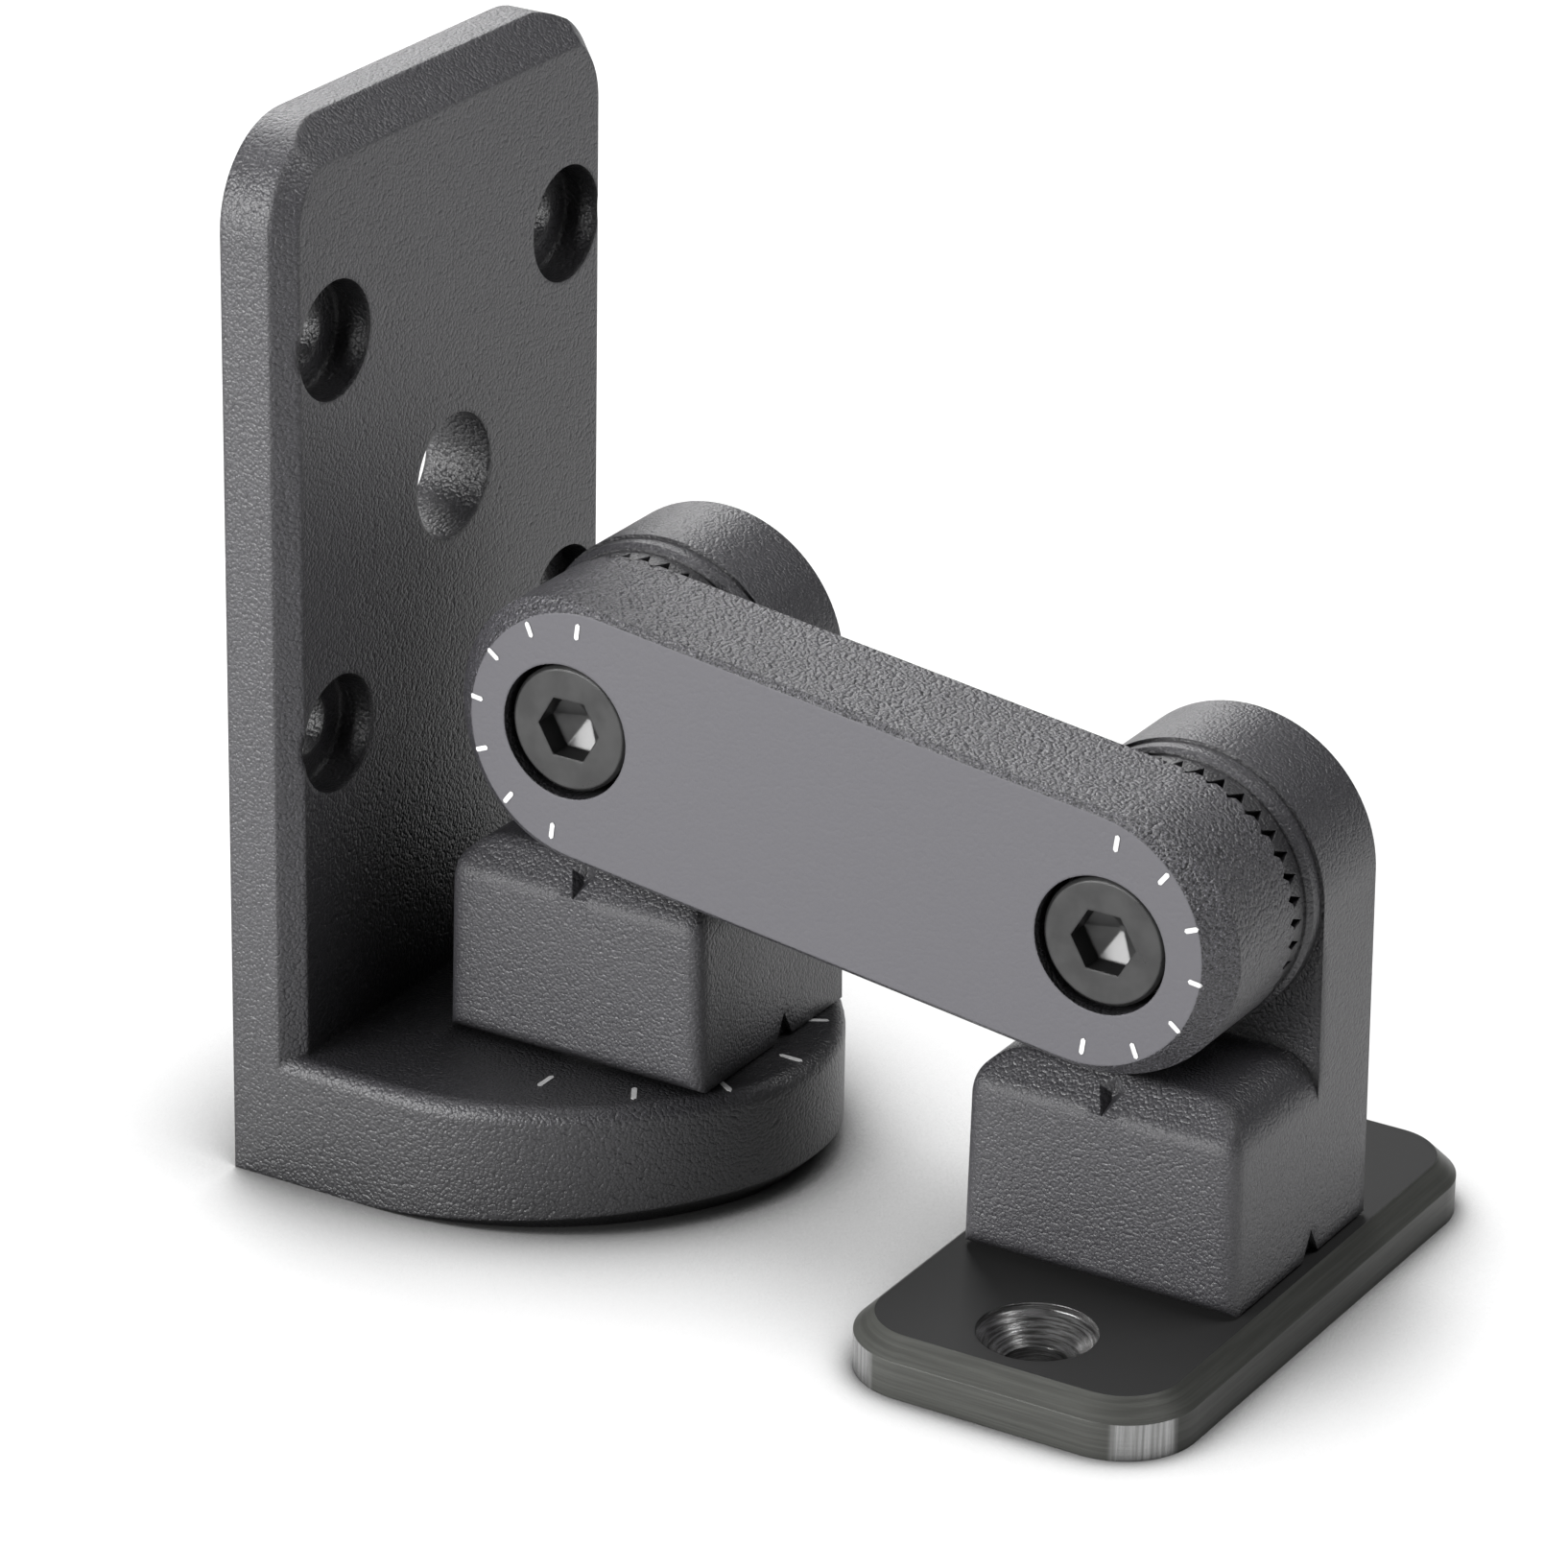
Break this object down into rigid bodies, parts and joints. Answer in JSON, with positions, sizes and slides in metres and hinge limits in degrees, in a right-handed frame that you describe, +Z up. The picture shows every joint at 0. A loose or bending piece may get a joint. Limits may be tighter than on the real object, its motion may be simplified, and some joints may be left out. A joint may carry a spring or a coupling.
{
  "type": "speaker wall bracket",
  "caption": "Cast wall bracket for a small loudspeaker: bevelled wall plate with a half-round shelf, swivelling yokes, a toothed tilting arm and a drilled mounting pad",
  "frame": {"origin": "On the wall face, at the centre of the four wall screw holes", "axes": "+Z up, the bracket stands out from the wall along -Y, the yokes' ears are on the +X side"},
  "size_m": [0.069, 0.1081, 0.109],
  "materials": {
    "casting": "textured black powder coat",
    "arm_casting": "satin dark grey coat",
    "machined": "black anodised, machined",
    "black_steel": "black oxide",
    "zinc_steel": "zinc plated",
    "spring_steel": "drawn spring wire and strip",
    "nylon": "black nylon"
  },
  "bodies": {
    "wall_bracket": {"wall_plate": "casting"},
    "wall_pivot": {"wall_yoke": "casting", "wall_tilt_screw": "black_steel", "wall_tilt_nut": "zinc_steel", "wall_tilt_spring": "spring_steel", "wall_swivel_screw": "black_steel", "wall_swivel_washer": "zinc_steel", "wall_swivel_lock_washer": "spring_steel", "wall_swivel_disc": "nylon"},
    "link": {"arm": "arm_casting"},
    "speaker_pivot": {"speaker_yoke": "casting", "speaker_tilt_screw": "black_steel", "speaker_tilt_nut": "zinc_steel", "speaker_tilt_spring": "spring_steel", "speaker_swivel_screw": "black_steel", "speaker_swivel_disc": "nylon"},
    "speaker_pad": {"speaker_plate": "machined"}
  },
  "joints": [
    {"name": "wall_swivel", "type": "hinge", "parent": "wall_bracket", "child": "wall_pivot", "pos_m": [0, -0.0306, -0.0533], "axis": [0, 0, 1], "range_deg": [-55, 55]},
    {"name": "wall_tilt", "type": "hinge", "parent": "wall_pivot", "child": "link", "pos_m": [0, -0.0306, -0.0168], "axis": [-1, 0, 0], "range_deg": [-1, 97.5]},
    {"name": "speaker_tilt", "type": "hinge", "parent": "link", "child": "speaker_pivot", "pos_m": [0, -0.0901, -0.0245], "axis": [-1, 0, 0], "range_deg": [0, 97.5]},
    {"name": "speaker_swivel", "type": "hinge", "parent": "speaker_pivot", "child": "speaker_pad", "pos_m": [0, -0.0901, -0.061], "axis": [0, 0, 1], "range_deg": [-45, 45]}
  ]
}
